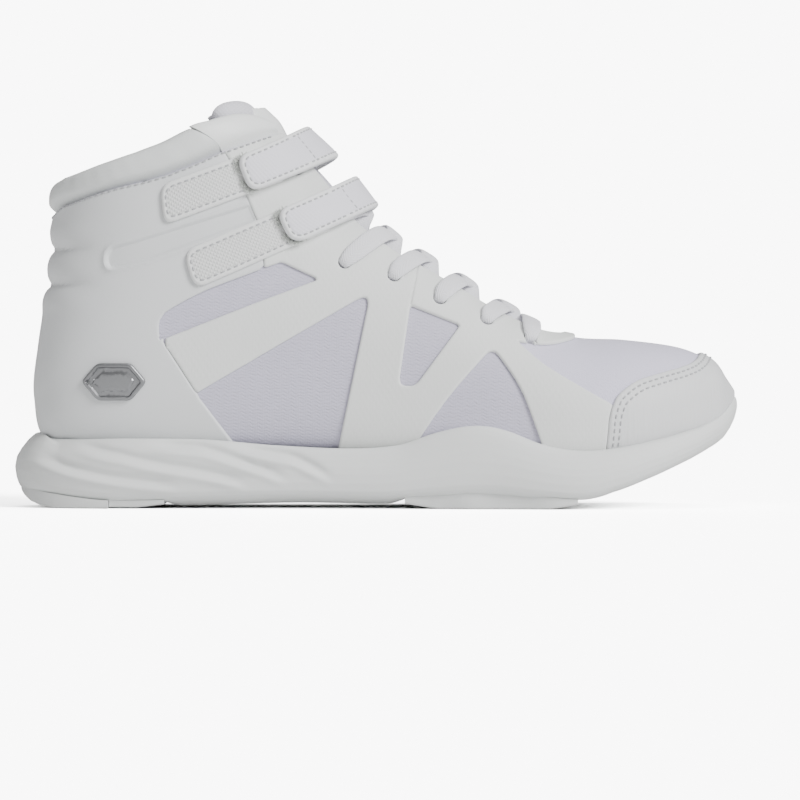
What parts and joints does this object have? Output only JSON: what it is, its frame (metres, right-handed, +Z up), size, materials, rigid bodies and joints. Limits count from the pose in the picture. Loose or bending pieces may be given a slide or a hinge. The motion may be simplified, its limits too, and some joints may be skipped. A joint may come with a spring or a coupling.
{
  "type": "high-top cheer shoe",
  "caption": "High-top cheerleading shoe with a knitted upper, welded overlays, padded collar, laces, hook-and-loop ankle straps and a low foam sole.",
  "frame": {"origin": "on the ground plane, at the middle of the shoe's bounding box in plan", "axes": "+X to the toe, +Y to the inner (medial) side of this right shoe, +Z up"},
  "size_m": [0.2658, 0.0942, 0.1486],
  "materials": {
    "foam": "matte moulded EVA foam, white",
    "outsole_rubber": "solid white rubber with moulded tread",
    "board": "stiff non-woven board",
    "insole_foam": "textile-covered foam",
    "vamp_knit": "fine knitted mesh, pale lavender white",
    "quarter_knit": "knitted mesh with small wavy cells",
    "overlay_film": "welded white synthetic overlay, faint emboss",
    "synthetic_leather": "smooth soft white synthetic leather, padded",
    "strap_leather": "white synthetic strap with stitched edge",
    "lining_textile": "brushed mesh lining",
    "loop_tape": "woven loop tape",
    "hook_tape": "moulded hook tape",
    "lace_textile": "flat woven lace",
    "clear_plastic": "rolled plastic tip",
    "badge_metallic": "brushed silver plaque"
  },
  "bodies": {
    "shoe": {"midsole": "foam", "heel_outsole": "outsole_rubber", "heel_outsole_front": "outsole_rubber", "forefoot_outsole": "outsole_rubber", "strobel_board": "board", "insole": "insole_foam", "vamp_mesh": "vamp_knit", "quarter_mesh_lateral": "quarter_knit", "quarter_mesh_medial": "quarter_knit", "heel_panel": "quarter_knit", "toe_cap": "overlay_film", "toe_puff": "board", "cage": "overlay_film", "heel_overlay": "overlay_film", "heel_counter": "board", "collar_lining": "lining_textile", "collar_rear": "synthetic_leather", "collar_front_lateral": "synthetic_leather", "collar_front_medial": "synthetic_leather", "upper_loop_pad": "loop_tape", "upper_strap_anchor": "strap_leather", "lower_loop_pad": "loop_tape", "lower_strap_anchor": "strap_leather", "shoelace": "lace_textile", "aglet_lateral": "clear_plastic", "aglet_medial": "clear_plastic", "badge_lateral": "badge_metallic", "badge_medial": "badge_metallic"},
    "tongue": {"tongue": "vamp_knit", "tongue_lining": "lining_textile"},
    "upper_strap": {"upper_strap": "strap_leather"},
    "upper_strap_end": {"upper_strap_tab": "strap_leather", "upper_hook_patch": "hook_tape"},
    "lower_strap": {"lower_strap": "strap_leather"},
    "lower_strap_end": {"lower_strap_tab": "strap_leather", "lower_hook_patch": "hook_tape"}
  },
  "joints": [
    {"name": "upper_strap_swing", "type": "hinge", "parent": "shoe", "child": "upper_strap", "pos_m": [-0.03897, 0.03152, 0.124], "axis": [-0.2827, -0.0592, 0.9574], "range_deg": [0, 125]},
    {"name": "upper_tab_peel", "type": "hinge", "parent": "upper_strap", "child": "upper_strap_end", "pos_m": [-0.0271, -0.0232, 0.1297], "axis": [-0.2413, 0.4142, 0.8776], "range_deg": [0, 95]},
    {"name": "lower_strap_swing", "type": "hinge", "parent": "shoe", "child": "lower_strap", "pos_m": [-0.02712, 0.0313, 0.10383], "axis": [-0.3539, -0.0201, 0.9351], "range_deg": [0, 125]},
    {"name": "lower_tab_peel", "type": "hinge", "parent": "lower_strap", "child": "lower_strap_end", "pos_m": [-0.0135, -0.0239, 0.1104], "axis": [-0.3336, 0.2161, 0.9176], "range_deg": [0, 95]},
    {"name": "tongue_tilt", "type": "hinge", "parent": "shoe", "child": "tongue", "pos_m": [0.08, 0, 0.0525], "axis": [0, -1, 0], "range_deg": [0, 7], "stiffness_Nm_per_rad": 0.5}
  ]
}
